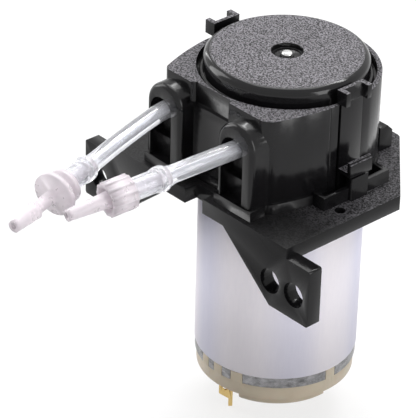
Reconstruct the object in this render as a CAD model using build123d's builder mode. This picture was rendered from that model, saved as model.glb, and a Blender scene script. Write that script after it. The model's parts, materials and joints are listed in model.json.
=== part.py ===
from build123d import *
from math import acos, atan2, cos, degrees, hypot, radians, sin, tan
import os

# Peristaltic pump head with its mounting bracket, drive motor and barbed tube ends.
# Millimetres. +Z runs up the motor shaft towards the head, and the two tube ports face -Y.
# The origin is on the shaft axis, in the plane of the bracket plate's underside.

os.makedirs("parts", exist_ok=True)

# ---------------------------------------------------------------- driving dimensions

# Fits and clearances
run_gap = 0.05            # radial clearance of a shaft or pin that turns in its bore
fit_gap = 0.02            # radial clearance of a pin or bush held in its seat
soft_gap = 0.2            # between a moulded part and the silicone tube
move_gap = 0.3            # between rigid parts that move past each other
end_play = 0.2            # axial clearance of the turning parts
cut_over = 1.0            # how far a cutting tool runs past the face it opens

# Bracket: plate, front flange with two drilled ears
plate_thick = 2.6
plate_half_width = 21.7
plate_front_y = -19.7     # the flange's mounting face
plate_side_y = 5.6        # where the straight sides end and the back chamfers start
plate_back_y = 19.5
plate_back_half = 7.8
plate_corner_round = 1.6
flange_thick = 2.6
outer_hole_x = 23.65
ear_hole_pitch = 5.4
ear_hole_r = 2.15
ear_hole_drop = 5.0       # hole centres below the plate's underside
ear_end_margin = 3.45
ear_foot_margin = 4.5
ear_top_step = 1.75       # ears start this far below the plate's top
ear_root_x = 7.0
notch_half_width = 2.1
side_hole_r = 0.9
side_hole_margin = 3.0    # hole centres inside the plate's straight sides
side_hole_y = -5.1
edge_round = 0.4

# Head: housing, ports and cap
head_r = 15.5
head_height = 15.1
track_wall = 2.1
plinth_height = 1.7
plinth_lip = 0.15
plinth_wall = 1.6
block_front_y = -15.7     # flat front of the housing, between and behind the ports
block_corner_half = 11.9
left_corner_round = 1.2
right_corner_round = 2.6
flank_bulge = 0.4         # how far each flank swells out from the straight line
flank_back_y = -4.3       # the block's flanks run back to here, where the side flats start
side_cut = 0.55           # flats on both sides, this far inside the round wall
front_recess_x = -0.9
front_recess_half = 4.2
front_recess_depth = 0.75
front_recess_drop = 3.55
front_recess_ease = 0.6
seat_wall = 0.8           # housing wall left round the cap's seat
cap_seat_depth = 1.6
cap_flange_gap = 0.6      # between the cap's flange and the wall round its seat
cap_flange_step = 0.5
cap_flange_thick = 0.9
cap_round = 1.4           # rounding of the cap's shoulder
cap_roof = 1.9
cap_wall = 1.3
cap_dimple_r = 2.6
cap_dimple_depth = 0.9

# Tube ports on the front of the housing
port_height = 9.6         # tube axis above the housing's foot
port_half_width = 4.15
port_front_y = -18.55
port_root_depth = 2.8     # how far the port's block reaches back into the housing
port_arch_rise = 0.3      # centre of the port's round top above the tube axis
port_edge_round = 0.9
mouth_r = 2.5
mouth_drop = 0.6          # centre of the mouth's round top below the tube axis
mouth_ledge = 3.7         # height of the ledge inside the mouth
mouth_ledge_depth = 1.5
outlet_x = 7.9
outlet_mouth_x = 7.4
inlet_x = -9.0
inlet_mouth_x = -9.6

# Silicone tube
tube_r = 1.5
tube_bore_r = 0.5
pressed_thick = 1.8
pressed_half_height = 1.95
pressed_chamfer = 0.55
lead_length = 5.7         # straight run from the end of the loop to the port bend
lead_taper = 4.2          # the part of it over which the tube turns round again
lead_bend = 0.9           # share of the rest that the port bend takes up

# Rotor: three rollers squeezed between the drive sleeve and the tube
roller_count = 3
sleeve_r = 2.05
sleeve_drop = 2.6         # sleeve's foot above the motor's pilot
roller_height = 9.0
roller_pin_r = 1.0
roller_edge = 0.5
carrier_thick = 1.6
top_carrier_thick = 1.3
carrier_lobe_r = 2.9
carrier_hub_r = 4.4

# Side latches
latch_half_width = 2.4
latch_stand_off = 0.45    # inner face outside the channel floor, room for the squeeze
latch_proud = 0.25        # outer face beyond the housing's side flat
latch_channel_wall = 0.6  # housing wall left behind the channel
latch_pivot_rise = 8.3
latch_knuckle_r = 0.6
tab_height = 2.6          # tab above the housing's top
tab_web = 0.65
tab_half_width = 2.8
tab_reach = 1.4           # side flanges beyond the arm's outer face
tab_flange_thick = 0.9
tab_ramp_reach = 0.5      # thumb ramp beyond the arm's outer face
tab_ramp_drop = 2.0       # lower edge of the thumb ramp below the tab's top
thumb_lip_rise = 2.8      # thumb lip's underside above the housing's foot
thumb_lip_height = 2.6
thumb_lip_web = 0.7
thumb_lip_reach = 2.8
thumb_lip_thick = 0.8
thumb_lip_step = 0.35
nose_reach = 0.4
nose_height = 0.5
latch_foot_gap = 0.35
lip_gap = 0.1             # between the arm and the lip that its foot hooks under

# Guard rails round the latch feet and the two lugs behind the head
rail_out = 1.8            # rail's outer face beyond the round wall
rail_thick = 0.8
rail_half_length = 7.3
rail_height = 2.3
rail_post_half = 1.8
rail_post_height = 4.1
rail_post_out = 0.6
lug_x = 8.0
lug_half_width = 1.4
lug_reach = 0.4           # back of each lug beyond the round wall's rearmost line
lug_depth = 2.9
lug_height = 4.4
lug_slope = 1.2

# Motor
can_r = 13.75
label_thick = 0.1
can_length = 34.7
label_margin = 2.0        # bare can below the label
can_wall = 1.2
can_nose_thick = 1.5
pilot_r = 5.0
pilot_height = 1.9
shaft_r = 1.0
shaft_tip_drop = 0.2      # shaft end below the cap's top face
motor_turn = -36.0        # turn of the end cap's cross bar about the shaft, degrees
rim_notches = ((-35.5, 9.5), (-52.0, 8.0), (-66.0, 8.0), (35.5, 8.5))
rim_notch_height = 1.9
rim_lug_gap = 0.05        # between the rim's notches and the end cap's lugs in them
plug_depth = 2.0          # how far the end cap's plug reaches into the can
end_cap_skirt = 2.5
end_cap_inset = 0.3
bar_half_width = 7.2
bar_r = 12.3
bar_height = 1.9
motor_screw_x = 8.0
screw_r = 1.25
screw_head_r = 2.2
screw_head_height = 1.5
screw_cross = 2.5         # cross recess in the head, end to end
screw_cross_width = 0.6
magnet_thick = 2.2
magnet_gap = 0.4
magnet_span = 130.0
magnet_length = 22.0
core_length = 16.0
core_slots = 5
slot_width = 1.8
pole_tip = 1.6
winding_height = 3.0
commutator_rise = 1.1     # commutator above the rear bearing
commutator_r = 2.6
commutator_length = 4.5
brush_width = 2.4
brush_height = 2.8
brush_length = 3.6
bearing_r = 3.0
bearing_length = 4.0
terminal_gap = 0.2        # between each blade and the cross bar
terminal_shift = 3.0      # along the cross bar, away from the brush's line
terminal_width = 2.4
terminal_thick = 0.4
terminal_length = 6.6
terminal_hole_r = 0.55
terminal_tip_width = 0.7
terminal_tip_length = 1.6

# Barbed ends
barb_stem_r = 1.05
barb_r = 1.35
barb_start = 0.8
barb_length = 1.8
sleeve_wall = 0.8
outlet_grip = 7.7         # length of tube pushed on to the outlet barb
collar_r = 2.7
collar_length = 4.4
collar_wall = 0.7
collar_back = 3.2
collar_ribs = 12
collar_rib_width = 0.45
collar_rib_rise = 0.15
luer_root_r = 1.4
luer_tip_r = 0.95
luer_reach = 7.0
inlet_grip = 7.0
flange_hub_r = 2.9
disc_thick = 1.0
disc_gap = 1.3
disc_hub_r = 2.2
second_disc_r = 3.6
neck_r = 1.05
neck_length = 4.6
tail_barb_r = 1.5
tail_tip_r = 1.0
tail_length = 5.1

# Free tube ends, as steps from each port mouth to the start of the barb
outlet_steps = ((-0.55, -6.0, -0.12), (-0.9, -5.65, -0.5))
inlet_steps = ((1.6, -6.9, -0.2), (1.4, -5.9, -0.35), (1.2, -5.4, -0.6))

# ---------------------------------------------------------------- worked-out sizes

plate_top = plate_thick
head_foot = plate_top + plinth_height
head_top = head_foot + head_height
tube_z = head_foot + port_height
track_r = head_r - track_wall
loop_outer_r = track_r - soft_gap
loop_r = loop_outer_r - pressed_thick / 2
side_flat_x = head_r - side_cut
cap_seat_r = head_r - seat_wall
cap_flange_r = cap_seat_r - cap_flange_gap
cap_body_r = cap_flange_r - cap_flange_step
roller_reach = loop_outer_r - pressed_thick - move_gap
roller_r = (roller_reach - sleeve_r - run_gap) / 2
roller_orbit = roller_reach - roller_r
roller_foot = tube_z - roller_height / 2
roller_head = tube_z + roller_height / 2
carrier_top = roller_foot - end_play
carrier_foot = carrier_top - carrier_thick
floor_top = carrier_foot - end_play
top_carrier_foot = roller_head + end_play
top_carrier_top = top_carrier_foot + top_carrier_thick
cap_ceiling = top_carrier_top + move_gap
cap_top = cap_ceiling + cap_roof
cap_foot = head_top - cap_seat_depth
inner_hole_x = outer_hole_x - ear_hole_pitch
side_hole_x = plate_half_width - side_hole_margin
lug_front_y = head_r + lug_reach - lug_depth
ear_half_span = outer_hole_x + ear_end_margin
ear_foot_z = -ear_hole_drop - ear_foot_margin
ear_top_z = plate_top - ear_top_step
channel_floor = track_r + latch_channel_wall
latch_inner_x = channel_floor + latch_stand_off
latch_outer_x = side_flat_x + latch_proud
latch_pivot_z = head_foot + latch_pivot_rise
thumb_lip_z = head_foot + thumb_lip_rise
rail_outer_x = head_r + rail_out
arch_z = tube_z + port_arch_rise
mouth_z = tube_z - mouth_drop
can_inner_r = can_r - can_wall
magnet_r = can_inner_r - run_gap
core_r = magnet_r - magnet_thick - magnet_gap
label_length = can_length - label_margin
end_cap_top = plug_depth - can_length
end_cap_foot = -can_length - end_cap_skirt
bar_foot = end_cap_foot - bar_height
bearing_seat_foot = -can_length - bearing_length / 2
shaft_foot = bearing_seat_foot + end_play
shaft_top = cap_top - shaft_tip_drop
sleeve_foot = pilot_height + sleeve_drop
winding_r = core_r - pole_tip
commutator_foot = bearing_seat_foot + bearing_length + commutator_rise
core_foot = commutator_foot + commutator_length + winding_height / 3
magnet_mid_z = core_foot + core_length / 2
terminal_radius = bar_half_width + terminal_gap + terminal_width / 2
solids = {}


# ---------------------------------------------------------------- shared helpers


def keep(builder, name):
    """Label a finished sub-part, write it, and keep it for the closing list."""
    builder.part.label = name
    export_step(builder.part, f"parts/{name}.step")
    solids[name] = builder.part


def upright(angle):
    """Vertical plane through the shaft axis whose x axis points outwards at this angle."""
    a = radians(angle)
    return Plane(origin=(0, 0, 0), x_dir=(cos(a), sin(a), 0), z_dir=(sin(a), -cos(a), 0))


def along(point, direction):
    """Plane whose y axis runs along a direction, for profiles turned about that line."""
    y_dir = Vector(*direction).normalized()
    x_dir = y_dir.cross(Vector(0, 0, 1)).normalized()
    return Plane(origin=point, x_dir=x_dir, z_dir=x_dir.cross(y_dir))


def head_outline(grow=0.0):
    """Plan of the housing: a round wall with side flats and a swelling block on its port side."""
    front = block_front_y - grow
    corner = block_corner_half + grow
    flat = side_flat_x + grow
    with BuildSketch() as plan:
        Circle(head_r + grow)
        with BuildLine():
            Polyline((-flat, flank_back_y), (flat, flank_back_y))
            SagittaArc((flat, flank_back_y), (corner, front), flank_bulge)
            Line((corner, front), (-corner, front))
            SagittaArc((-corner, front), (-flat, flank_back_y), flank_bulge)
        make_face()
        corners = plan.vertices().group_by(Axis.Y)[0].sort_by(Axis.X)
        fillet(corners[0], left_corner_round)
        fillet(plan.vertices().group_by(Axis.Y)[0].sort_by(Axis.X)[-1], right_corner_round)
        Rectangle(2 * flat, 4 * head_r, mode=Mode.INTERSECT)
    return plan.sketch


# ---------------------------------------------------------------- tube route inside the head


class Lead:
    """Where the pressed loop ends on one side and how the tube runs on to its port."""

    def __init__(self, port_x):
        self.side = 1 if port_x > 0 else -1
        reach = hypot(loop_r, lead_length)
        self.turn = acos(abs(port_x) / reach) - atan2(lead_length, loop_r)
        self.start = Vector(self.side * loop_r * cos(self.turn), -loop_r * sin(self.turn), tube_z)
        self.heading = Vector(-self.side * sin(self.turn), -cos(self.turn), 0)
        self.round_from = self.start + self.heading * lead_taper
        self.corner = self.start + self.heading * lead_length
        self.bend = lead_bend * (lead_length - lead_taper) / tan(self.turn / 2)


def hose_points(lead, port_x, steps):
    """Round part of the tube's route: out of the loop, through the port, then free."""
    points = [lead.round_from, lead.corner, Vector(port_x, port_front_y, tube_z)]
    for step in steps:
        points.append(points[-1] + Vector(*step))
    return points


def hose_radii(points, first):
    """Bend radius at each inner point, as large as its two runs allow."""
    radii = [first]
    for before, here, after in zip(points[1:], points[2:], points[3:]):
        turn = (here - before).get_angle(after - here)
        shorter = min((here - before).length, (after - here).length)
        radii.append(0.45 * shorter / tan(radians(turn) / 2))
    return radii


outlet_lead = Lead(outlet_x)
inlet_lead = Lead(inlet_x)
outlet_points = hose_points(outlet_lead, outlet_x, outlet_steps)
inlet_points = hose_points(inlet_lead, inlet_x, inlet_steps)
outlet_radii = hose_radii(outlet_points, outlet_lead.bend)
inlet_radii = hose_radii(inlet_points, inlet_lead.bend)
print("outlet bends", [round(r, 1) for r in outlet_radii])
print("inlet bends", [round(r, 1) for r in inlet_radii])
outlet_end = outlet_points[-1]
outlet_dir = (outlet_points[-1] - outlet_points[-2]).normalized()
inlet_end = inlet_points[-1]
inlet_dir = (inlet_points[-1] - inlet_points[-2]).normalized()


def hose_run(points, radii, radius):
    """Round bar swept along straight runs joined by tangent arcs."""
    with BuildPart() as bar:
        with BuildLine() as path:
            FilletPolyline(*points, radius=radii)
        with BuildSketch(Plane(origin=path.line @ 0, z_dir=path.line % 0)):
            Circle(radius)
        sweep(path=path.line)
    return bar.part


def pressed_section(half_width, half_height, corner):
    """Rectangle with its four corners cut off, like a tube squeezed between two walls."""
    with BuildSketch() as section:
        Rectangle(2 * half_width, 2 * half_height)
        chamfer(section.vertices(), corner)
    return section.sketch


def lead_taper_solid(lead, grow):
    """The stretch over which the pressed tube opens up again, just past the loop's end."""
    with BuildPart() as taper:
        side_dir = lead.heading.cross(Vector(0, 0, 1))
        with BuildSketch(Plane(origin=lead.start, x_dir=side_dir, z_dir=lead.heading)):
            add(pressed_section(pressed_thick / 2 + grow, pressed_half_height + grow, pressed_chamfer))
        with BuildSketch(Plane(origin=lead.round_from, x_dir=side_dir, z_dir=lead.heading)):
            add(pressed_section(tube_r + grow, tube_r + grow, (tube_r + grow) * (2 - 2**0.5)))
        loft(ruled=True)
    return taper.part


# ---------------------------------------------------------------- bracket


def side_rail(side):
    """Guard rail round one latch foot, with the post that stands in the middle of it."""
    inner_x = rail_outer_x - rail_thick
    with BuildPart() as rail:
        with BuildSketch(Plane.XY.offset(plate_top)):
            with Locations((side * (rail_outer_x + channel_floor) / 2, 0)):
                Rectangle(rail_outer_x - channel_floor, 2 * rail_half_length)
            with Locations((side * (inner_x + channel_floor) / 2, 0)):
                Rectangle(
                    inner_x - channel_floor,
                    2 * (rail_half_length - rail_thick),
                    mode=Mode.SUBTRACT,
                )
            add(head_outline(plinth_lip), mode=Mode.SUBTRACT)
        extrude(amount=rail_height)
        with BuildSketch(Plane.XY.offset(plate_top)):
            with Locations((side * (inner_x + (rail_thick + rail_post_out) / 2), 0)):
                Rectangle(rail_thick + rail_post_out, 2 * rail_post_half)
        extrude(amount=rail_post_height)
    return rail.part


with BuildPart() as base_bracket:
    # plate with its two back corners cut away
    with BuildSketch():
        with BuildLine():
            Polyline(
                (-plate_half_width, plate_front_y),
                (plate_half_width, plate_front_y),
                (plate_half_width, plate_side_y),
                (plate_back_half, plate_back_y),
                (-plate_back_half, plate_back_y),
                (-plate_half_width, plate_side_y),
                close=True,
            )
        make_face()
    extrude(amount=plate_thick)
    fillet(base_bracket.edges().filter_by(Axis.Z).group_by(Axis.Y)[-1], plate_corner_round)
    # front flange: two drilled ears that hang from the plate's front edge
    with BuildSketch(Plane.XZ.offset(-plate_front_y - flange_thick)):
        for side in (-1, 1):
            with BuildLine():
                Polyline(
                    (side * ear_root_x, 0),
                    (side * inner_hole_x, ear_foot_z),
                    (side * ear_half_span, ear_foot_z),
                    (side * ear_half_span, ear_top_z),
                    (side * ear_root_x, ear_top_z),
                    close=True,
                )
            make_face()
    extrude(amount=flange_thick)
    ear_ends = base_bracket.edges().filter_by(Axis.Y).filter_by(
        lambda e: abs(e.center().X) > ear_half_span - edge_round
    )
    fillet(ear_ends, edge_round)
    with BuildSketch(Plane.XZ.offset(-plate_front_y - flange_thick)):
        for side in (-1, 1):
            with Locations(
                (side * inner_hole_x, -ear_hole_drop), (side * outer_hole_x, -ear_hole_drop)
            ):
                Circle(ear_hole_r)
    extrude(amount=flange_thick, mode=Mode.SUBTRACT)
    # centre notch in the front edge
    with BuildSketch():
        with Locations((0, plate_front_y + flange_thick / 2)):
            Rectangle(2 * notch_half_width, flange_thick)
    extrude(amount=plate_thick, mode=Mode.SUBTRACT)
    # raised plinth that the housing and its ports stand on
    with BuildSketch(Plane.XY.offset(plate_top)):
        add(head_outline(plinth_lip))
        for port_x in (outlet_x, inlet_x):
            with Locations((port_x, (port_front_y + block_front_y) / 2)):
                Rectangle(
                    2 * (port_half_width + plinth_lip), block_front_y - port_front_y + 2 * plinth_lip
                )
    extrude(amount=plinth_height)
    with BuildSketch(Plane.XY.offset(plate_top)):
        Circle(track_r - plinth_wall)
    extrude(amount=plinth_height, mode=Mode.SUBTRACT)
    # guard rails, their posts, and the two lugs behind the head
    for side in (-1, 1):
        add(side_rail(side))
    with BuildSketch(Plane.XY.offset(plate_top)):
        with Locations(*((side * lug_x, lug_front_y + lug_depth / 2) for side in (-1, 1))):
            Rectangle(2 * lug_half_width, lug_depth)
        add(head_outline(plinth_lip), mode=Mode.SUBTRACT)
    extrude(amount=lug_height)
    lug_tops = base_bracket.edges().filter_by(Axis.X).group_by(Axis.Z)[-1]
    chamfer(lug_tops.group_by(Axis.Y)[-1], lug_slope)
    # latch feet hook under a lip left at the top of the plinth
    foot_top = head_foot + cut_over
    lip_foot = plate_top + latch_foot_gap + nose_height + end_play
    for side in (-1, 1):
        with BuildSketch(Plane.XY.offset(plate_top)):
            with Locations((side * (channel_floor + plinth_lip + cut_over / 2), 0)):
                Rectangle(2 * plinth_lip + cut_over + 2 * nose_reach, 2 * latch_half_width + 2 * move_gap)
        extrude(amount=lip_foot - plate_top, mode=Mode.SUBTRACT)
        with BuildSketch(Plane.XY.offset(lip_foot)):
            with Locations((side * (latch_inner_x - lip_gap + cut_over), 0)):
                Rectangle(2 * cut_over, 2 * latch_half_width + 2 * move_gap)
        extrude(amount=foot_top - lip_foot, mode=Mode.SUBTRACT)
    # motor pilot hole, motor screws, and two small holes beside the rails
    with BuildSketch():
        Circle(pilot_r + fit_gap)
        with Locations((-motor_screw_x, 0), (motor_screw_x, 0)):
            Circle(screw_r + fit_gap)
        with Locations((-side_hole_x, side_hole_y), (side_hole_x, side_hole_y)):
            Circle(side_hole_r)
    extrude(amount=plate_thick, mode=Mode.SUBTRACT)
keep(base_bracket, "base_bracket")

# ---------------------------------------------------------------- head housing


def port_block(port_x, mouth_x):
    """One arched port: a solid shell with a deep round-topped mouth and a ledge in it."""
    with BuildPart() as port:
        with BuildSketch(Plane.XZ.offset(-block_front_y - port_root_depth)):
            with Locations((port_x, (head_foot + arch_z) / 2)):
                Rectangle(2 * port_half_width, arch_z - head_foot)
            with Locations((port_x, arch_z)):
                Circle(port_half_width)
        extrude(amount=block_front_y - port_front_y + port_root_depth)
        front_edges = port.faces().sort_by(Axis.Y)[0].edges().filter_by(
            lambda e: e.center().Z > head_foot + edge_round
        )
        fillet(front_edges, port_edge_round)
        for depth, foot in (
            (block_front_y - port_front_y, head_foot + mouth_ledge),
            (mouth_ledge_depth, head_foot),
        ):
            with BuildSketch(Plane.XZ.offset(-port_front_y - depth)):
                with Locations((mouth_x, (foot + mouth_z) / 2)):
                    Rectangle(2 * mouth_r, mouth_z - foot)
                with Locations((mouth_x, mouth_z)):
                    Circle(mouth_r)
                if depth == mouth_ledge_depth:
                    with Locations((mouth_x, head_foot + mouth_ledge + mouth_r)):
                        Rectangle(2 * mouth_r, 2 * mouth_r)
            extrude(amount=depth + cut_over, mode=Mode.SUBTRACT)
    return port.part


def port_channel(lead, port_x):
    """Clear way for the tube from the roller track to its port."""
    mouth = Vector(port_x, port_front_y, tube_z)
    with BuildPart() as channel:
        for start, end in ((lead.round_from, lead.corner), (mouth, lead.corner)):
            with BuildSketch(Plane(origin=start, z_dir=end - start)):
                Circle(tube_r + soft_gap)
            extrude(amount=(end - start).length + soft_gap)
    return channel.part


with BuildPart() as head_housing:
    with BuildSketch(Plane.XY.offset(head_foot)):
        add(head_outline())
    extrude(amount=head_height)
    add(port_block(outlet_x, outlet_mouth_x))
    add(port_block(inlet_x, inlet_mouth_x))
    # roller track, floor opening for the shaft, and the cap's seat
    with BuildSketch(Plane.XY.offset(floor_top)):
        Circle(track_r)
    extrude(amount=head_height, mode=Mode.SUBTRACT)
    with BuildSketch(Plane.XY.offset(head_foot)):
        Circle(carrier_hub_r)
    extrude(amount=floor_top - head_foot, mode=Mode.SUBTRACT)
    with BuildSketch(Plane.XY.offset(head_foot)):
        Circle(track_r - plinth_wall)
    extrude(amount=(floor_top - head_foot) / 2, mode=Mode.SUBTRACT)
    with BuildSketch(Plane.XY.offset(cap_foot)):
        Circle(cap_seat_r)
    extrude(amount=cap_seat_depth, mode=Mode.SUBTRACT)
    # ways for the tube, flared where it leaves the track
    for lead, port_x in ((outlet_lead, outlet_x), (inlet_lead, inlet_x)):
        add(lead_taper_solid(lead, soft_gap), mode=Mode.SUBTRACT)
        add(port_channel(lead, port_x), mode=Mode.SUBTRACT)
    # recessed panel at the top of the front wall, with its left edge eased
    with BuildSketch(Plane.XY.offset(head_top - front_recess_drop)):
        recess_left = front_recess_x - front_recess_half
        recess_right = front_recess_x + front_recess_half
        with BuildLine():
            Polyline(
                (recess_left - front_recess_ease, block_front_y - cut_over),
                (recess_left - front_recess_ease, block_front_y),
                (recess_left, block_front_y + front_recess_ease),
                (recess_left, block_front_y + front_recess_depth),
                (recess_right, block_front_y + front_recess_depth),
                (recess_right, block_front_y - cut_over),
                close=True,
            )
        make_face()
    extrude(amount=front_recess_drop, mode=Mode.SUBTRACT)
    for side in (-1, 1):
        # upright channel for the latch, and its pivot groove
        with BuildSketch(Plane.XY.offset(head_foot)):
            with Locations((side * (channel_floor + cut_over), 0)):
                Rectangle(2 * cut_over, 2 * (latch_half_width + move_gap))
        extrude(amount=head_height, mode=Mode.SUBTRACT)
        with BuildSketch(Plane.XZ.offset(-latch_half_width - move_gap)):
            with Locations((side * latch_inner_x, latch_pivot_z)):
                Circle(latch_knuckle_r + run_gap)
        extrude(amount=2 * (latch_half_width + move_gap), mode=Mode.SUBTRACT)
keep(head_housing, "head_housing")

# ---------------------------------------------------------------- cap

with BuildPart() as cap:
    with BuildSketch(Plane.XZ):
        with BuildLine():
            Polyline(
                (0, cap_ceiling),
                (cap_body_r - cap_wall, cap_ceiling),
                (cap_body_r - cap_wall, cap_foot),
                (cap_flange_r, cap_foot),
                (cap_flange_r, cap_foot + cap_flange_thick),
                (cap_body_r, cap_foot + cap_flange_thick),
                (cap_body_r, cap_top - cap_round),
            )
            RadiusArc((cap_body_r, cap_top - cap_round), (cap_body_r - cap_round, cap_top), -cap_round)
            Polyline((cap_body_r - cap_round, cap_top), (0, cap_top), (0, cap_ceiling))
        make_face()
    revolve(axis=Axis.Z)
    with BuildSketch(Plane.XY.offset(cap_top)):
        Circle(cap_dimple_r)
    extrude(amount=-cap_dimple_depth, mode=Mode.SUBTRACT)
    with BuildSketch(Plane.XY.offset(cap_ceiling)):
        Circle(shaft_r + run_gap)
    extrude(amount=cap_roof, mode=Mode.SUBTRACT)
keep(cap, "cap")

# ---------------------------------------------------------------- side latches


def latch(side):
    """Sprung side arm: finger tab at the top, pivot knuckle, thumb lip, hooked foot."""
    tab_top = head_top + tab_height
    foot_z = plate_top + latch_foot_gap
    mid_x = (latch_inner_x + latch_outer_x) / 2
    with BuildPart() as arm:
        # side profile of arm, tab web with its thumb ramp, and hooked foot
        with BuildSketch(Plane.XZ.offset(-latch_half_width)):
            with BuildLine():
                Polyline(
                    (side * latch_inner_x, foot_z + nose_height),
                    (side * latch_inner_x, tab_top),
                    (side * (latch_inner_x + tab_web), tab_top),
                    (side * (latch_outer_x + tab_ramp_reach), tab_top - tab_ramp_drop),
                    (side * latch_outer_x, head_top),
                    (side * latch_outer_x, foot_z),
                    (side * (latch_inner_x - nose_reach + nose_height / 2), foot_z),
                    (side * (latch_inner_x - nose_reach), foot_z + nose_height / 2),
                    (side * (latch_inner_x - nose_reach), foot_z + nose_height),
                    close=True,
                )
            make_face()
        extrude(amount=2 * latch_half_width)
        # two side flanges of the finger tab
        with BuildSketch(Plane.XY.offset(head_top + end_play)):
            edge = tab_half_width - tab_flange_thick / 2
            tab_outer = latch_outer_x + tab_reach
            with Locations(
                (side * (latch_inner_x + tab_outer) / 2, edge),
                (side * (latch_inner_x + tab_outer) / 2, -edge),
            ):
                Rectangle(tab_outer - latch_inner_x, tab_flange_thick)
        extrude(amount=tab_height - end_play)
        # thumb lip: a short web with an upright, stepped edge
        with BuildSketch(Plane.XZ.offset(-latch_half_width)):
            lip_top = thumb_lip_z + thumb_lip_height
            lip_outer = latch_outer_x + thumb_lip_reach
            with BuildLine():
                Polyline(
                    (side * mid_x, thumb_lip_z),
                    (side * lip_outer, thumb_lip_z),
                    (side * lip_outer, lip_top - thumb_lip_step),
                    (side * (lip_outer - thumb_lip_step), lip_top - thumb_lip_step),
                    (side * (lip_outer - thumb_lip_step), lip_top),
                    (side * (lip_outer - thumb_lip_thick), lip_top),
                    (side * (lip_outer - thumb_lip_thick), thumb_lip_z + thumb_lip_web),
                    (side * mid_x, thumb_lip_z + thumb_lip_web),
                    close=True,
                )
            make_face()
        extrude(amount=2 * latch_half_width)
        # knuckle that rocks in the housing's groove
        with BuildSketch(Plane.XZ.offset(-latch_half_width)):
            with Locations((side * latch_inner_x, latch_pivot_z)):
                Circle(latch_knuckle_r)
        extrude(amount=2 * latch_half_width)
    return arm


for side, name in ((1, "latch_right"), (-1, "latch_left")):
    keep(latch(side), name)

# ---------------------------------------------------------------- silicone tube and barbed ends


def grip_sleeve(end, direction, grip):
    """Tube end stretched over a barb: the wall follows the barb and then its stem."""
    with BuildPart() as sleeve:
        with BuildSketch(along(end, direction)):
            barb_end = barb_start + barb_length
            stem_out = barb_stem_r + sleeve_wall
            barb_out = barb_r + sleeve_wall
            with BuildLine():
                Polyline(
                    (tube_bore_r, 0),
                    (tube_r, 0),
                    (tube_r + (barb_out - tube_r) / 4, barb_start),
                    (barb_out, barb_end - barb_length / 3),
                    (barb_out, barb_end),
                    (stem_out, barb_end + barb_length / 2),
                    (stem_out, grip),
                    (barb_stem_r + fit_gap, grip),
                    (barb_stem_r + fit_gap, barb_end),
                    (barb_r + fit_gap, barb_end),
                    (tube_bore_r + fit_gap + (barb_stem_r - tube_bore_r) / 2, barb_start),
                    (tube_bore_r, barb_start),
                    close=True,
                )
            make_face()
        revolve(axis=Axis(end, direction))
    return sleeve.part


loop_turn = 180 + degrees(outlet_lead.turn + inlet_lead.turn)
with BuildPart() as pump_tube:
    with BuildSketch(upright(-degrees(outlet_lead.turn))):
        with Locations((loop_r, tube_z)):
            add(pressed_section(pressed_thick / 2, pressed_half_height, pressed_chamfer))
    revolve(axis=Axis.Z, revolution_arc=loop_turn)
    for lead, points, radii, end, heading, grip in (
        (outlet_lead, outlet_points, outlet_radii, outlet_end, outlet_dir, outlet_grip),
        (inlet_lead, inlet_points, inlet_radii, inlet_end, inlet_dir, inlet_grip),
    ):
        add(lead_taper_solid(lead, 0))
        add(hose_run(points, radii, tube_r))
        add(hose_run(points, radii, tube_bore_r), mode=Mode.SUBTRACT)
        add(grip_sleeve(end, heading, grip))
keep(pump_tube, "pump_tube")


def barb_profile(grip):
    """Half profile of a barb and stem, from its tip inside the tube to the tube's end face."""
    barb_end = barb_start + barb_length
    tip_r = tube_bore_r + (barb_stem_r - tube_bore_r) / 2
    return [
        (tube_bore_r, barb_start),
        (tip_r, barb_start),
        (barb_r, barb_end),
        (barb_stem_r, barb_end),
        (barb_stem_r, grip),
    ]


with BuildPart() as outlet_fitting:
    with BuildSketch(along(outlet_end, outlet_dir)):
        base = outlet_grip
        cup = base + collar_back
        rim = base + collar_length
        tip = rim + luer_reach
        with BuildLine():
            Polyline(
                *barb_profile(outlet_grip),
                (collar_r, base),
                (collar_r, rim),
                (collar_r - collar_wall, rim),
                (collar_r - collar_wall, cup),
                (luer_root_r, cup),
                (luer_tip_r, tip),
                (tube_bore_r, tip),
                close=True,
            )
        make_face()
    revolve(axis=Axis(outlet_end, outlet_dir))
    # grip ribs round the locking collar
    with BuildSketch(Plane(origin=outlet_end + outlet_dir * base, z_dir=outlet_dir)):
        with PolarLocations(collar_r - collar_wall / 2 + collar_rib_rise / 2, collar_ribs):
            Rectangle(collar_wall + collar_rib_rise, collar_rib_width)
    extrude(amount=collar_length)
keep(outlet_fitting, "outlet_fitting")

with BuildPart() as inlet_fitting:
    with BuildSketch(along(inlet_end, inlet_dir)):
        first = inlet_grip
        second = first + disc_thick + disc_gap
        neck = second + disc_thick
        tail = neck + neck_length
        with BuildLine():
            Polyline(
                *barb_profile(inlet_grip),
                (flange_hub_r, first),
                (flange_hub_r, first + disc_thick),
                (disc_hub_r, first + disc_thick),
                (disc_hub_r, second),
                (second_disc_r, second),
                (second_disc_r, neck),
                (neck_r, neck),
                (neck_r, tail),
                (tail_barb_r, tail),
                (tail_tip_r, tail + tail_length),
                (tube_bore_r, tail + tail_length),
                close=True,
            )
        make_face()
    revolve(axis=Axis(inlet_end, inlet_dir))
keep(inlet_fitting, "inlet_fitting")

# ---------------------------------------------------------------- rotor


def carrier_plate(foot, thick, bore_r):
    """Three-lobed cage plate with a shaft bore and one pin hole in each lobe."""
    with BuildPart() as plate:
        with BuildSketch(Plane.XY.offset(foot)):
            Circle(carrier_hub_r)
            with PolarLocations(roller_orbit, roller_count):
                Circle(carrier_lobe_r)
            Circle(bore_r, mode=Mode.SUBTRACT)
            with PolarLocations(roller_orbit, roller_count):
                Circle(roller_pin_r + fit_gap, mode=Mode.SUBTRACT)
        extrude(amount=thick)
    return plate


keep(carrier_plate(carrier_foot, carrier_thick, sleeve_r + run_gap), "carrier_lower")
keep(carrier_plate(top_carrier_foot, top_carrier_thick, shaft_r + run_gap), "carrier_upper")

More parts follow.
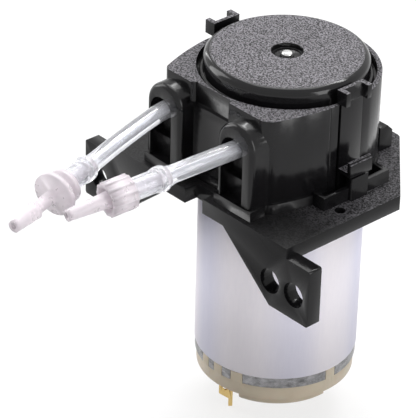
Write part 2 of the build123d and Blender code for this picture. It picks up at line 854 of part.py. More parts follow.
for index, spot in enumerate(PolarLocations(roller_orbit, roller_count)):
    place = Plane(origin=spot.position)
    with BuildPart() as roller_pin:
        with BuildSketch(place.offset(carrier_foot)):
            Circle(roller_pin_r)
        extrude(amount=top_carrier_top - carrier_foot)
    keep(roller_pin, f"roller_pin_{index + 1}")
    with BuildPart() as roller:
        with BuildSketch(place.offset(roller_foot)):
            Circle(roller_r)
        extrude(amount=roller_height)
        chamfer(roller.edges(), roller_edge)
        with BuildSketch(place.offset(roller_foot)):
            Circle(roller_pin_r + run_gap)
        extrude(amount=roller_height, mode=Mode.SUBTRACT)
    keep(roller, f"roller_{index + 1}")

with BuildPart() as drive_sleeve:
    with BuildSketch(Plane.XY.offset(sleeve_foot)):
        Circle(sleeve_r)
        Circle(shaft_r + fit_gap, mode=Mode.SUBTRACT)
    extrude(amount=roller_head - sleeve_foot)
keep(drive_sleeve, "drive_sleeve")

# ---------------------------------------------------------------- motor

with BuildPart() as motor_shaft:
    with BuildSketch(Plane.XY.offset(shaft_foot)):
        Circle(shaft_r)
    extrude(amount=shaft_top - shaft_foot)
    fillet(motor_shaft.edges().sort_by(Axis.Z)[-1], shaft_r / 2)
keep(motor_shaft, "motor_shaft")

with BuildPart() as motor_can:
    with BuildSketch(Plane.XY.offset(-can_length)):
        Circle(can_r)
    extrude(amount=can_length)
    with BuildSketch():
        Circle(pilot_r)
    extrude(amount=pilot_height)
    with BuildSketch(Plane.XY.offset(-can_length)):
        Circle(can_inner_r)
    extrude(amount=can_length - can_nose_thick, mode=Mode.SUBTRACT)
    with BuildSketch(Plane.XY.offset(-can_nose_thick)):
        Circle(bearing_r + fit_gap)
        with Locations((-motor_screw_x, 0), (motor_screw_x, 0)):
            Circle(screw_r + fit_gap)
    extrude(amount=can_nose_thick + pilot_height, mode=Mode.SUBTRACT)
    # notches in the rim, between the tabs that hold the end cap
    for angle, width in rim_notches:
        for half_turn in (0, 180):
            with BuildSketch(upright(motor_turn + angle + half_turn)):
                with Locations((can_r, -can_length + rim_notch_height / 2)):
                    Rectangle(2 * can_wall + cut_over, rim_notch_height)
            extrude(amount=radians(width) * can_r / 2, both=True, mode=Mode.SUBTRACT)
keep(motor_can, "motor_can")

with BuildPart() as motor_label:
    with BuildSketch(Plane.XY.offset(-label_length)):
        Circle(can_r + label_thick)
        Circle(can_r, mode=Mode.SUBTRACT)
    extrude(amount=label_length)
keep(motor_label, "motor_label")

with BuildPart() as motor_end_cap:
    # lugs that fill the notches in the can's rim
    for angle, width in rim_notches:
        for half_turn in (0, 180):
            with BuildSketch(upright(motor_turn + angle + half_turn)):
                with Locations((can_r - can_wall, -can_length + (rim_notch_height - rim_lug_gap) / 2)):
                    Rectangle(2 * can_wall, rim_notch_height - rim_lug_gap)
            extrude(amount=radians(width) * can_r / 2 - rim_lug_gap, both=True)
    with BuildSketch(Plane.XY.offset(-can_length)):
        Circle(can_r)
    extrude(amount=rim_notch_height, mode=Mode.INTERSECT)
    # plug inside the can's rim, skirt below it, and the raised cross bar
    with BuildSketch(Plane.XY.offset(-can_length)):
        Circle(can_inner_r - fit_gap)
    extrude(amount=plug_depth)
    with BuildSketch(Plane.XY.offset(end_cap_foot)):
        Circle(can_r - end_cap_inset)
    extrude(amount=end_cap_skirt)
    with BuildSketch(Plane.XY.rotated((0, 0, motor_turn)).offset(bar_foot)):
        Rectangle(2 * bar_r, 2 * bar_half_width)
        Circle(bar_r, mode=Mode.INTERSECT)
    extrude(amount=bar_height)
    chamfer(motor_end_cap.edges().group_by(Axis.Z)[0], edge_round)
    # blind seat for the rear bearing
    with BuildSketch(Plane.XY.offset(bearing_seat_foot)):
        Circle(bearing_r + fit_gap)
    extrude(amount=can_length, mode=Mode.SUBTRACT)
    # slots for the two terminals
    for turn in (-90, 90):
        with BuildSketch(Plane.XY.rotated((0, 0, motor_turn + turn)).offset(end_cap_foot)):
            with Locations((terminal_radius, terminal_shift)):
                Rectangle(terminal_width + 2 * fit_gap, terminal_thick + 2 * fit_gap)
        extrude(amount=end_cap_skirt + plug_depth, mode=Mode.SUBTRACT)
keep(motor_end_cap, "motor_end_cap")

with BuildPart() as front_bearing:
    with BuildSketch(Plane.XY.offset(-can_nose_thick - end_play)):
        Circle(bearing_r)
        Circle(shaft_r + run_gap, mode=Mode.SUBTRACT)
    extrude(amount=can_nose_thick + pilot_height + end_play)
keep(front_bearing, "front_bearing")

with BuildPart() as rear_bearing:
    with BuildSketch(Plane.XY.offset(bearing_seat_foot)):
        Circle(bearing_r)
        Circle(shaft_r + run_gap, mode=Mode.SUBTRACT)
    extrude(amount=bearing_length)
keep(rear_bearing, "rear_bearing")

for index in range(2):
    with BuildPart() as magnet:
        with BuildSketch(upright(motor_turn + 180 * index - magnet_span / 2)):
            with Locations((magnet_r - magnet_thick / 2, magnet_mid_z)):
                Rectangle(magnet_thick, magnet_length)
        revolve(axis=Axis.Z, revolution_arc=magnet_span)
    keep(magnet, f"magnet_{index + 1}")

with BuildPart() as armature_core:
    with BuildSketch(Plane.XY.offset(core_foot)):
        Circle(core_r)
        with PolarLocations(core_r, core_slots):
            Rectangle(2 * pole_tip + cut_over, slot_width / 2, mode=Mode.SUBTRACT)
        with PolarLocations((core_r + commutator_r) / 2 - pole_tip / 2, core_slots):
            Rectangle(core_r - commutator_r - pole_tip * 2, slot_width, mode=Mode.SUBTRACT)
        Circle(shaft_r + fit_gap, mode=Mode.SUBTRACT)
    extrude(amount=core_length)
keep(armature_core, "armature_core")

with BuildPart() as armature_windings:
    for foot in (core_foot - winding_height, core_foot + core_length):
        with BuildSketch(Plane.XY.offset(foot)):
            with PolarLocations(winding_r / 2, core_slots, start_angle=180 / core_slots):
                Circle(winding_r / 2)
            Circle(commutator_r, mode=Mode.SUBTRACT)
        extrude(amount=winding_height)
keep(armature_windings, "armature_windings")

with BuildPart() as commutator:
    with BuildSketch(Plane.XY.offset(commutator_foot)):
        Circle(commutator_r - run_gap)
        Circle(shaft_r + fit_gap, mode=Mode.SUBTRACT)
    extrude(amount=commutator_length)
keep(commutator, "commutator")

for index, turn in enumerate((-90, 90)):
    side_plane = Plane.XY.rotated((0, 0, motor_turn + turn))
    with BuildPart() as brush:
        with BuildSketch(side_plane.offset(end_cap_top + end_play)):
            with Locations((commutator_r + run_gap + brush_length / 2, 0)):
                Rectangle(brush_length, brush_width)
        extrude(amount=brush_height)
    keep(brush, f"brush_{index + 1}")
    # blade terminal: drilled tab below the end cap, narrow tip, and a tail up to the brush
    with BuildPart() as terminal:
        blade_foot = end_cap_foot - terminal_length
        tip_foot = blade_foot - terminal_tip_length
        with BuildSketch(upright(motor_turn + turn).offset(-terminal_shift)):
            inner = terminal_radius - terminal_width / 2
            outer = terminal_radius + terminal_width / 2
            with BuildLine():
                Polyline(
                    (inner, end_cap_top),
                    (outer, end_cap_top),
                    (outer, blade_foot + terminal_width / 2),
                    (inner + terminal_tip_width, blade_foot),
                    (inner + terminal_tip_width, tip_foot),
                    (inner, tip_foot),
                    close=True,
                )
            make_face()
            with Locations((terminal_radius, blade_foot + terminal_width)):
                Circle(terminal_hole_r, mode=Mode.SUBTRACT)
        extrude(amount=terminal_thick / 2, both=True)
    keep(terminal, f"terminal_{index + 1}")

with BuildPart() as motor_screws:
    with BuildSketch(Plane.XY.offset(-can_nose_thick)):
        with Locations((-motor_screw_x, 0), (motor_screw_x, 0)):
            Circle(screw_r)
    extrude(amount=can_nose_thick + plate_thick)
    with BuildSketch(Plane.XY.offset(plate_top)):
        with Locations((-motor_screw_x, 0), (motor_screw_x, 0)):
            Circle(screw_head_r)
    extrude(amount=screw_head_height)
    with BuildSketch(Plane.XY.offset(plate_top + screw_head_height / 2)):
        with Locations((-motor_screw_x, 0), (motor_screw_x, 0)):
            for tilt in (0, 90):
                Rectangle(screw_cross, screw_cross_width, rotation=tilt)
    extrude(amount=screw_head_height / 2, mode=Mode.SUBTRACT)
keep(motor_screws, "motor_screws")

for name, solid in solids.items():
    print(f"{name:20s} {len(solid.solids())} solids {solid.volume:9.2f} mm3")
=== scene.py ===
import bpy
import bmesh
import json
import math
from collections import namedtuple
from mathutils import Matrix, Vector


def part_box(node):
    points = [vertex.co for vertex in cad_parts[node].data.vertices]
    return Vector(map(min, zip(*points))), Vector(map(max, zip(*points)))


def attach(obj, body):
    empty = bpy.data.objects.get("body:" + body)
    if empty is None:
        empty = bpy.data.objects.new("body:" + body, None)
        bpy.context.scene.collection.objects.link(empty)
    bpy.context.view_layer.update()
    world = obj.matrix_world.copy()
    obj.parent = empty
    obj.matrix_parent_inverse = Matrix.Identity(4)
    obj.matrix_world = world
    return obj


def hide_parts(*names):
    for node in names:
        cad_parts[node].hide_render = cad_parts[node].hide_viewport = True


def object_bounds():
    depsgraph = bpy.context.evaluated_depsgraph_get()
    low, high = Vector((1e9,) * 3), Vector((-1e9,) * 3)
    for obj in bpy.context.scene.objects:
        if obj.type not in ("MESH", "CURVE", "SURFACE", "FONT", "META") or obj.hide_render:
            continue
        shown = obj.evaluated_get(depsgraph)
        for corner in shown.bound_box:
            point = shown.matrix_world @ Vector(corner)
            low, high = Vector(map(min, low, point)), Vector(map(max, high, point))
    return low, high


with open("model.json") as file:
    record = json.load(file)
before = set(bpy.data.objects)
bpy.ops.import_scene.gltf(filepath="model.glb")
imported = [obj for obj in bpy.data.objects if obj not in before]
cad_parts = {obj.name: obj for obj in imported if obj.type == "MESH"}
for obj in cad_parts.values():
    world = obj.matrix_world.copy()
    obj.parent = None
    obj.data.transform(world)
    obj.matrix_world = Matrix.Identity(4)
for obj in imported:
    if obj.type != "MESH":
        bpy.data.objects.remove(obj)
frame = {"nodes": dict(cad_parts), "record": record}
NODES = frame["nodes"]
cad_low, cad_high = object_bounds()
MM = 0.001


def add_object(name, data):
    piece = bpy.data.objects.new(name, data)
    bpy.context.scene.collection.objects.link(piece)
    return piece


def mesh_from(bm, name):
    mesh = bpy.data.meshes.new(name)
    bm.to_mesh(mesh)
    bm.free()
    return mesh


def smooth(mesh, angle):
    """Smooth shading, with edges sharper than the angle kept."""
    mesh.polygons.foreach_set("use_smooth", [True] * len(mesh.polygons))
    mesh.set_sharp_from_angle(angle=angle)


# ------------------------------------------------------------------ camera

# the photograph's viewing angle and the camera's place
AZ, EL, ROLL = math.radians(47.167), math.radians(31.299), math.radians(1.567)
CAMERA_AT = Vector((284.095, -279.873, 234.104)) * MM
FOCAL_PX, WIDTH_PX, SENSOR = 2795.0, 416.0, 36.0

back = Vector((math.sin(AZ) * math.cos(EL), -math.cos(AZ) * math.cos(EL), math.sin(EL)))
level_right = Vector((math.cos(AZ), math.sin(AZ), 0))
level_up = back.cross(level_right)
right = math.cos(ROLL) * level_right + math.sin(ROLL) * level_up
up = -math.sin(ROLL) * level_right + math.cos(ROLL) * level_up

camera_data = bpy.data.cameras.new("camera")
camera_data.sensor_fit = "HORIZONTAL"
camera_data.sensor_width = SENSOR
camera_data.lens = FOCAL_PX / WIDTH_PX * SENSOR
camera_data.clip_start = 0.01
camera_data.clip_end = 20
camera = add_object("camera", camera_data)
turn = Matrix((right, up, back)).transposed()
camera.matrix_world = Matrix.Translation(CAMERA_AT) @ turn.to_4x4()
bpy.context.scene.camera = camera

# ------------------------------------------------------------------ node helpers


class Tree:
    """The node tree of a material or world, with short ways to add and join nodes."""

    def __init__(self, owner):
        owner.use_nodes = True
        self.nodes = owner.node_tree.nodes
        self.links = owner.node_tree.links

    def feed(self, value, socket):
        """Link another node's output to the socket, or set the socket's own value."""
        if isinstance(value, bpy.types.NodeSocket):
            self.links.new(value, socket)
        else:
            socket.default_value = value

    def add(self, kind, inputs=None, **settings):
        node = self.nodes.new(kind)
        for key, value in settings.items():
            setattr(node, key, value)
        for key, value in (inputs or {}).items():
            self.feed(value, node.inputs[key])
        return node

    def ramp(self, value, low, high, out_low=0.0, out_high=1.0):
        ends = {"From Min": low, "From Max": high, "To Min": out_low, "To Max": out_high}
        return self.add("ShaderNodeMapRange", {"Value": value, **ends}).outputs[0]

    def mix(self, factor, a, b):
        return self.add("ShaderNodeMix", {0: factor, 6: a, 7: b}, data_type="RGBA").outputs[2]

    def math(self, operation, a, b=0.0):
        return self.add("ShaderNodeMath", {0: a, 1: b}, operation=operation).outputs[0]

    def distance(self, a, b):
        return self.math("ABSOLUTE", self.math("SUBTRACT", a, b))

    def split(self, vector):
        """The x, y and z of a vector."""
        return self.add("ShaderNodeSeparateXYZ", {0: vector}).outputs

    def shader_mix(self, factor, a, b):
        return self.add("ShaderNodeMixShader", {0: factor, 1: a.outputs[0], 2: b.outputs[0]})

    def background_rays(self):
        """1 for the rays that see the white background: camera, transmission and glossy."""
        rays = self.add("ShaderNodeLightPath").outputs
        seen = self.math("MAXIMUM", rays["Is Camera Ray"], rays["Is Transmission Ray"])
        return self.math("MAXIMUM", seen, rays["Is Glossy Ray"])

    def surface(self, shader, output):
        """Make this shader what the tree's output node shows."""
        self.links.new(shader.outputs[0], self.nodes[output].inputs["Surface"])


class Material(Tree):
    """A new material whose patterns lie in the object's own coordinates, in metres."""

    def __init__(self, name):
        self.mat = bpy.data.materials.new(name)
        super().__init__(self.mat)
        self.bsdf = self.nodes["Principled BSDF"]
        self.coords = self.add("ShaderNodeTexCoord").outputs["Object"]

    def set(self, **values):
        for key, value in values.items():
            self.feed(value, self.bsdf.inputs[key.replace("_", " ")])

    def noise(self, scale, detail=3.0, rough=0.55, stretch=(1, 1, 1)):
        """Noise with about this many cells to a metre."""
        place = self.add("ShaderNodeMapping", {"Vector": self.coords, "Scale": stretch})
        kind = {"Scale": scale, "Detail": detail, "Roughness": rough}
        return self.add("ShaderNodeTexNoise", {"Vector": place.outputs[0], **kind}).outputs["Fac"]

    def bump(self, height, depth, strength=1.0, normal=None):
        """Relief of this depth; normal is the relief that it adds to."""
        inputs = {"Height": height, "Distance": depth, "Strength": strength}
        if normal is not None:
            inputs["Normal"] = normal
        return self.add("ShaderNodeBump", inputs).outputs["Normal"]

    def facing_up(self):
        """1 on level upward faces, 0 on the rest, from the surface's own normal."""
        normal = self.add("ShaderNodeNewGeometry").outputs["True Normal"]
        return self.ramp(self.split(normal)[2], 0.96, 0.995)


def grey(v, tint=(1.0, 1.0, 1.0)):
    return (v * tint[0], v * tint[1], v * tint[2], 1.0)


# ------------------------------------------------------------------ materials

SIDE_TINT, GRAIN_TINT = (1, 0.96, 1.05), (1, 0.96, 1.04)
STEEL_TINT, ZINC_TINT = (1, 0.99, 0.98), (1, 0.99, 1.02)
TOP_ROUGH = 0.58                            # roughness of the spark texture
GRAIN_REACH = (0.2 * MM, 0.3 * MM)          # the texture ends this far above and below grain_z
FRONT_Y, TEXTURED_Y = -13 * MM, -4 * MM     # the bracket's texture comes in between these
SEAM_Y = -4.45 * MM                         # the housing's parting line
SEAM_REACH = (0.03 * MM, 0.11 * MM)         # half widths of the groove's floor and mouth
FLANK_X = (14.2 * MM, 14.3 * MM)            # it shows only on the faces outside these


def black_plastic(name, side_rough=0.18, top_level=0.085, gloss=0.27, contrast=2.4,
                  grain_z=None, smooth_front=False, seam=False):
    """Black moulding: spark-textured level tops, smooth glossy sides with faint flow marks.

    grain_z keeps the texture to level faces at that height, smooth_front fades it out
    towards the front, and seam marks the parting line on the flanks with a fine groove.
    """
    t = Material(name)
    x, y, z = t.split(t.coords)
    textured = t.facing_up()
    if grain_z is not None:
        at_height = t.ramp(t.distance(z, grain_z), *GRAIN_REACH, 1.0, 0.0)
        textured = t.math("MULTIPLY", textured, at_height)
    coarse, fine = t.noise(3700, 1.0, 0.5), t.noise(6700, 1.0, 0.5)
    cloud, flow = t.noise(180, 4.0), t.noise(1300, 3.0)
    grain = t.math("ADD", t.math("MULTIPLY", coarse, 0.7), t.math("MULTIPLY", fine, 0.3))
    spark = t.ramp(grain, 0.43, 0.56)
    if smooth_front:
        spark = t.math("MULTIPLY", spark, t.ramp(y, FRONT_Y, TEXTURED_Y, 0.12, 1.0))
    side = t.mix(cloud, grey(0.004, SIDE_TINT), grey(0.010, SIDE_TINT))
    pit, peak = grey(top_level * 0.10, GRAIN_TINT), grey(top_level * contrast, GRAIN_TINT)
    side_gloss = t.ramp(flow, 0.3, 0.75, side_rough - 0.05, side_rough + 0.07)
    rough = t.add("ShaderNodeMix", {0: textured, 2: side_gloss, 3: TOP_ROUGH}, data_type="FLOAT")
    normal = t.bump(flow, 0.02 * MM, 0.30)
    normal = t.bump(t.math("MULTIPLY", spark, textured), 0.10 * MM, 1.0, normal)
    if seam:
        groove = t.ramp(t.distance(y, SEAM_Y), *SEAM_REACH)
        inside = t.ramp(t.math("ABSOLUTE", x), *FLANK_X, 1.0, 0.0)
        normal = t.bump(t.math("MAXIMUM", groove, inside), 0.25 * MM, 1.0, normal)
    t.set(Base_Color=t.mix(textured, side, t.mix(spark, pit, peak)), Roughness=rough.outputs[0])
    t.set(Normal=normal, Specular_IOR_Level=gloss)
    return t.mat


def mottled(name, noise, dark, light, rough, relief, **shader):
    """A finish whose colour, roughness and relief all follow one noise."""
    t = Material(name)
    n = t.noise(*noise)
    t.set(Base_Color=t.mix(n, dark, light), Roughness=t.ramp(n, *rough))
    t.set(Normal=t.bump(n, *relief), **shader)
    return t.mat


def metal(name, noise, dark, light, rough):
    spread = (0.25, 0.8, rough - 0.06, rough + 0.12)
    return mottled(name, noise, dark, light, spread, (0.01 * MM, 0.4), Metallic=1.0)


def steel(name, level, rough, streak=(1, 1, 1)):
    dark, light = grey(level * 0.8), grey(level * 1.1, STEEL_TINT)
    return metal(name, (900, 3.0, 0.6, streak), dark, light, rough)


def tinted_metal(name, dark, light, rough):
    return metal(name, (700, 4.0), (*dark, 1), (*light, 1), rough)


def dull(name, dark, light, rough):
    spread = (0.2, 0.8, rough - 0.08, rough + 0.08)
    return mottled(name, (900, 4.0), (*dark, 1), (*light, 1), spread, (0.02 * MM, 0.5))


def foil(name):
    """Pale satin film wrapped round the motor, with a painted sheen: lavender and pinkish bands
    run up it.
    """
    t = Material(name)
    x, y, _ = t.split(t.coords)
    # painted sheen: the base colour swings between lavender and pinkish white with the angle round
    # the motor and along tall noise bands
    angle = t.math("ARCTAN2", y, x)
    painted_sheen_wave = t.math("SINE", t.math("ADD", t.math("MULTIPLY", angle, 5.0), 1.2))
    painted_sheen_band = t.noise(55, 2.0, 0.5, (1, 1, 0.02))
    fibre = t.noise(2600, 3.0, 0.6, (1, 1, 0.12))
    painted_sheen = t.math("ADD", t.math("MULTIPLY", painted_sheen_wave, 0.16), painted_sheen_band)
    tone = t.mix(t.ramp(painted_sheen, 0.34, 0.66), (0.74, 0.73, 0.85, 1), (0.93, 0.89, 0.93, 1))
    tone = t.mix(t.ramp(fibre, 0.3, 0.7, 0.0, 0.10), tone, (0.60, 0.58, 0.68, 1))
    t.set(Base_Color=tone, Metallic=0.04, Roughness=t.ramp(fibre, 0.3, 0.7, 0.46, 0.58))
    t.set(Normal=t.bump(fibre, 0.006 * MM, 0.5))
    return t.mat


def cream(name):
    """Ivory moulded plastic with faint clouding."""
    t = Material(name)
    cloud, fine = t.noise(240, 4.0), t.noise(1800, 3.0)
    t.set(Base_Color=t.mix(cloud, (0.42, 0.35, 0.25, 1), (0.56, 0.49, 0.38, 1)))
    t.set(Roughness=t.ramp(fine, 0.3, 0.7, 0.32, 0.46), Normal=t.bump(fine, 0.02 * MM, 0.4))
    t.set(Subsurface_Weight=0.12, Subsurface_Scale=2 * MM)
    return t.mat


def clear_plastic(name):
    """Translucent natural plastic, slightly pinkish, with flow haze."""
    return mottled(name, (520, 4.0), (0.93, 0.86, 0.90, 1), (0.99, 0.93, 0.97, 1),
                   (0.3, 0.7, 0.24, 0.38), (0.01 * MM, 0.3), Transmission_Weight=0.35, IOR=1.36)


def silicone(name):
    """Clear tube with a bluish cast and a soft surface haze."""
    return mottled(name, (300, 3.0, 0.5), (0.92, 0.93, 0.98, 1), (0.98, 0.98, 1.0, 1),
                   (0.3, 0.7, 0.07, 0.13), (0.02 * MM, 0.2), Transmission_Weight=0.78, IOR=1.41)


def can_metal(name):
    """Zinc-plated rim: bright, mottled by light scuffs."""
    t = Material(name)
    blotch = t.noise(620, 5.0, 0.65, (1, 1, 1.6))
    fine = t.noise(3200, 3.0)
    t.set(Base_Color=t.mix(t.ramp(blotch, 0.32, 0.66), grey(0.10), grey(0.34, ZINC_TINT)))
    t.set(Metallic=0.9, Roughness=t.ramp(fine, 0.3, 0.7, 0.24, 0.42))
    t.set(Normal=t.bump(blotch, 0.05 * MM, 0.5))
    return t.mat


def top_of(node):
    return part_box(node)[1][2]


MATS = {
    "black_moulding": black_plastic("black_moulding"),
    "black_cap": black_plastic("black_cap", side_rough=0.13, top_level=0.105, gloss=0.30,
                               grain_z=top_of("cap")),
    "white_nylon": dull("white_nylon", (0.62, 0.62, 0.58), (0.72, 0.72, 0.69), 0.4),
    "steel": steel("steel", 0.62, 0.22),
    "can_steel": can_metal("can_steel"),
    "core_steel": steel("core_steel", 0.2, 0.5, (0.05, 0.05, 3)),
    "brass": tinted_metal("brass", (0.52, 0.36, 0.13), (0.74, 0.56, 0.26), 0.28),
    "bronze": tinted_metal("bronze", (0.32, 0.2, 0.09), (0.45, 0.3, 0.15), 0.45),
    "copper": tinted_metal("copper", (0.5, 0.2, 0.09), (0.68, 0.32, 0.16), 0.3),
    "ferrite": dull("ferrite", (0.03, 0.03, 0.03), (0.05, 0.05, 0.05), 0.6),
    "carbon": dull("carbon", (0.02, 0.02, 0.02), (0.04, 0.04, 0.04), 0.7),
    "foil": foil("foil"),
    "cream_plastic": cream("cream_plastic"),
    "silicone": silicone("silicone"),
    "clear_plastic": clear_plastic("clear_plastic"),
}

# ------------------------------------------------------------------ CAD nodes: edges and materials

PLATE_TOP = 2.6 * MM
WELD_GAP = 0.001 * MM
BEVEL_ANGLE, SHARP_ANGLE, TUBE_SHARP_ANGLE = (math.radians(a) for a in (35, 32, 50))

# width in millimetres of the softened edges
EDGE = {"base_bracket": 0.22, "head_housing": 0.25, "cap": 0.12, "latch_left": 0.16,
        "latch_right": 0.16, "motor_end_cap": 0.25, "motor_can": 0.1, "terminal_1": 0.05,
        "terminal_2": 0.05}

# nodes with a finish of their own within their slot
OWN = {
    "base_bracket": black_plastic("black_bracket", top_level=0.012, gloss=0.20, contrast=8.0,
                                  grain_z=PLATE_TOP, smooth_front=True),
    "head_housing": black_plastic("black_housing", grain_z=top_of("head_housing"), seam=True),
}

for entry in frame["record"]["subparts"]:
    node = NODES[entry["node"]]
    node.data.materials.clear()
    node.data.materials.append(OWN.get(entry["node"], MATS[entry["material_slot"]]))
    weld = node.modifiers.new("weld", "WELD")
    weld.merge_threshold = WELD_GAP
    if entry["node"] in EDGE:
        bevel = node.modifiers.new("bevel", "BEVEL")
        bevel.width = EDGE[entry["node"]] * MM
        bevel.segments = 2
        bevel.limit_method = "ANGLE"
        bevel.angle_limit = BEVEL_ANGLE
        bevel.harden_normals = True
    smooth(node.data, SHARP_ANGLE)

# ------------------------------------------------------------------ silicone tube

# in millimetres: part.py's route and sections, with the skin over the barbs 0.01 inside its own
TUBE_Z, LOOP_R, LEAD, TAPER, PORT_Y = 13.9, 12.3, 5.7, 4.2, -18.55
TUBE_R, BORE_R, FLAT_W, FLAT_H = 1.5, 0.5, 0.9, 1.95
BARB_BORE, STEM_BORE, BARB_SKIN, STEM_SKIN = 1.37, 1.07, 2.14, 1.84
SIDES, LOOP_STEPS, GRIP_STEPS = 28, 72, 40

Section = namedtuple("Section", "here way wide high bore run")


def rounded(points, radii, gap=0.35):
    """Points along straight runs joined by tangent arcs."""
    out = [points[0]]
    for before, here, after, radius in zip(points, points[1:], points[2:], radii):
        u, v = (before - here).normalized(), (after - here).normalized()
        half = u.angle(v) / 2
        reach = radius / math.tan(half)
        middle = here + (u + v).normalized() * (radius / math.sin(half))
        a, b = here + u * reach - middle, here + v * reach - middle
        count = max(2, int(a.angle(b) * radius / gap))
        a, b = a.normalized(), b.normalized()
        out += [middle + a.slerp(b, k / count) * radius for k in range(count + 1)]
    return out + [points[-1]]


def table_at(rows, s):
    """Value at s from rows of (s, value), eased between rows."""
    for (s0, v0), (s1, v1) in zip(rows, rows[1:]):
        if s <= s1:
            k = max(0.0, (s - s0) / (s1 - s0))
            return v0 + (v1 - v0) * k * k * (3 - 2 * k)
    return rows[-1][1]


class Half:
    """One side of the tube: from the loop's end through its port to the end over the barb."""

    def __init__(self, port_x, steps, radii, grip):
        side = 1 if port_x > 0 else -1
        turn = math.acos(abs(port_x) / math.hypot(LOOP_R, LEAD)) - math.atan2(LEAD, LOOP_R)
        self.angle = math.atan2(-math.sin(turn), side * math.cos(turn))
        start = Vector((side * LOOP_R * math.cos(turn), -LOOP_R * math.sin(turn), TUBE_Z))
        heading = Vector((-side * math.sin(turn), -math.cos(turn), 0))
        points = [start, start + heading * LEAD, Vector((port_x, PORT_Y, TUBE_Z))]
        for step in steps:
            points.append(points[-1] + Vector(step))
        direction = (points[-1] - points[-2]).normalized()
        line = rounded(points, radii)
        grip_start = line[-1]
        line += [grip_start + direction * grip * k / GRIP_STEPS for k in range(1, GRIP_STEPS + 1)]
        # outer and inner radius by the distance along the grip
        grip_skin = ((0, TUBE_R), (0.7, 1.62), (1.9, BARB_SKIN), (2.7, 2.12), (3.9, STEM_SKIN),
                     (grip - 0.2, STEM_SKIN), (grip, 1.78))
        grip_bore = ((0, BORE_R), (0.8, BORE_R), (0.85, 0.8), (2.6, BARB_BORE), (2.7, STEM_BORE),
                     (grip, STEM_BORE))
        self.sections = []
        run = 0.0
        for index, here in enumerate(line):
            if index:
                run += (here - line[index - 1]).length
            ahead = line[min(index + 1, len(line) - 1)] - line[max(index - 1, 0)]
            over = (here - grip_start).dot(direction)
            if over > 0:
                wide = high = table_at(grip_skin, over)
                bore = table_at(grip_bore, over)
            else:
                k = min(1.0, run / TAPER)
                wide = FLAT_W + (TUBE_R - FLAT_W) * k
                high = FLAT_H + (TUBE_R - FLAT_H) * k
                bore = BORE_R
            self.sections.append(Section(here, ahead.normalized(), wide, high, bore, run))


outlet = Half(port_x=7.9, steps=((-0.55, -6.0, -0.12), (-0.9, -5.65, -0.5)),
              radii=(5.1, 57.9, 54.6), grip=7.7)
inlet = Half(port_x=-9.0, steps=((1.6, -6.9, -0.2), (1.4, -5.9, -0.35), (1.2, -5.4, -0.6)),
             radii=(6.5, 27.7, 183.0, 95.6), grip=7.0)

bm = bmesh.new()


def ring(here, heading, wide, high):
    """Vertices round the tube's line at one point of it."""
    side = heading.cross(Vector((0, 0, 1))).normalized()
    over = side.cross(heading)
    verts = []
    for k in range(SIDES):
        a = 2 * math.pi * k / SIDES
        spot = here + side * wide * math.cos(a) + over * high * math.sin(a)
        verts.append(bm.verts.new(spot * MM))
    return verts


def skin(first, second, flip=False):
    """Faces between two rings."""
    for k in range(SIDES):
        quad = [first[k], first[(k + 1) % SIDES], second[(k + 1) % SIDES], second[k]]
        bm.faces.new(quad[::-1] if flip else quad)


rings = [ring(s.here, -s.way, s.wide, s.high) for s in reversed(inlet.sections)]
sweep = (outlet.angle - inlet.angle) % (2 * math.pi) - 2 * math.pi
for k in range(1, LOOP_STEPS):
    a = inlet.angle + sweep * k / LOOP_STEPS
    here = Vector((LOOP_R * math.cos(a), LOOP_R * math.sin(a), TUBE_Z))
    rings.append(ring(here, Vector((math.sin(a), -math.cos(a), 0)), FLAT_W, FLAT_H))
rings += [ring(s.here, s.way, s.wide, s.high) for s in outlet.sections]
for first, second in zip(rings, rings[1:]):
    skin(first, second, flip=True)

# each end's bore, closed inside the head where the tube starts to flatten
for half, sign, end_ring in ((inlet, -1, rings[0]), (outlet, 1, rings[-1])):
    bore = [ring(s.here, s.way * sign, s.bore, s.bore) for s in half.sections if s.run > TAPER]
    for first, second in zip(bore, bore[1:]):
        skin(first, second, flip=sign < 0)
    skin(bore[-1], end_ring, flip=sign < 0)
    bm.faces.new(bore[0] if sign < 0 else bore[0][::-1])
bmesh.ops.recalc_face_normals(bm, faces=bm.faces)
mesh = mesh_from(bm, "silicone_tube")
smooth(mesh, TUBE_SHARP_ANGLE)
mesh.materials.append(MATS["silicone"])
tube = add_object("silicone_tube", mesh)
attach(tube, "pump_frame")
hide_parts("pump_tube")

# ------------------------------------------------------------------ floor

FLOOR_GAP = 0.2 * MM                    # between the floor and the object's lowest point
FLOOR_HALF = 4.0                        # half its side, in metres
FLOOR_GLOW = 0.72                       # its own white near the object, which leaves a shadow
SHADOW_NEAR, SHADOW_FAR = 0.12, 0.45    # the glow rises to full white between these distances

bm = bmesh.new()
bmesh.ops.create_grid(bm, x_segments=1, y_segments=1, size=FLOOR_HALF)
mesh = mesh_from(bm, "floor")
floor = add_object("floor", mesh)
floor.location.z = cad_low.z - FLOOR_GAP

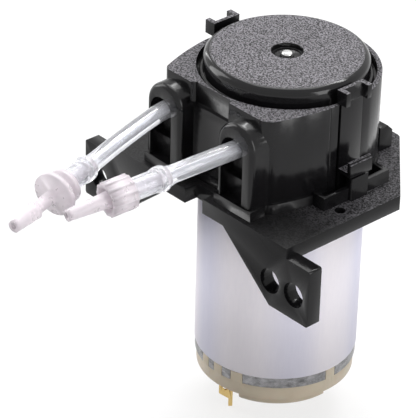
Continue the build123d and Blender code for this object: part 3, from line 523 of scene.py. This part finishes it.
# where it is seen it is white with the object's shadow, to other rays it is plain grey, and
# from below it is clear
t = Material("floor_white")
cloud = t.noise(3.0, 2.0)
plain = t.add("ShaderNodeBsdfDiffuse", {"Color": t.mix(cloud, grey(0.48), grey(0.52))})
shade = t.add("ShaderNodeBsdfDiffuse", {"Color": t.mix(cloud, grey(0.25), grey(0.27))})
away = t.add("ShaderNodeVectorMath", {0: t.coords}, operation="LENGTH").outputs["Value"]
glow = t.ramp(away, SHADOW_NEAR, SHADOW_FAR, FLOOR_GLOW, 1.0)
white = t.add("ShaderNodeEmission", {"Color": grey(1.0), "Strength": glow})
shown = t.add("ShaderNodeAddShader", {0: shade.outputs[0], 1: white.outputs[0]})
top = t.shader_mix(t.background_rays(), plain, shown)
below = t.add("ShaderNodeNewGeometry").outputs["Backfacing"]
clear = t.add("ShaderNodeBsdfTransparent")
t.surface(t.shader_mix(below, top, clear), "Material Output")
mesh.materials.append(t.mat)

# ------------------------------------------------------------------ world and lamps

SKY_COLOUR = (0.97, 0.97, 1.0, 1)
SKY_LOW, SKY_HIGH = 0.30, 0.6           # strength below the horizon and near the zenith

world = bpy.data.worlds.new("studio")
bpy.context.scene.world = world
t = Tree(world)
height = t.split(t.add("ShaderNodeTexCoord").outputs["Generated"])[2]
sky = t.nodes["Background"]
t.feed(SKY_COLOUR, sky.inputs["Color"])
t.feed(t.ramp(height, -0.1, 0.9, SKY_LOW, SKY_HIGH), sky.inputs["Strength"])
white = t.add("ShaderNodeBackground", {"Color": grey(1.0)})
t.surface(t.shader_mix(t.background_rays(), sky, white), "World Output")

# name, place and size in metres, power in watts; each lamp points at the origin
LAMPS = (
    ("top_light", (-0.25, 0.25, 0.75), (0.6, 0.6), 4.3),
    ("left_light", (-0.75, -0.35, 0.30), (0.35, 0.8), 4.0),
    ("right_light", (0.8, 0.10, 0.2), (0.3, 0.7), 3.4),
    ("back_strip", (-0.12, 0.46, 0.64), (0.5, 0.06), 1.9),
    ("left_strip", (-0.78, 0.12, 0.25), (0.06, 0.4), 0.5),
)
for name, at, size, power in LAMPS:
    data = bpy.data.lights.new(name, "AREA")
    data.shape = "RECTANGLE"
    data.size, data.size_y = size
    data.energy = power
    lamp = add_object(name, data)
    lamp.location = at
    lamp.rotation_euler = (-Vector(at)).to_track_quat("-Z", "Y").to_euler()

bpy.context.scene.view_settings.view_transform = "Standard"
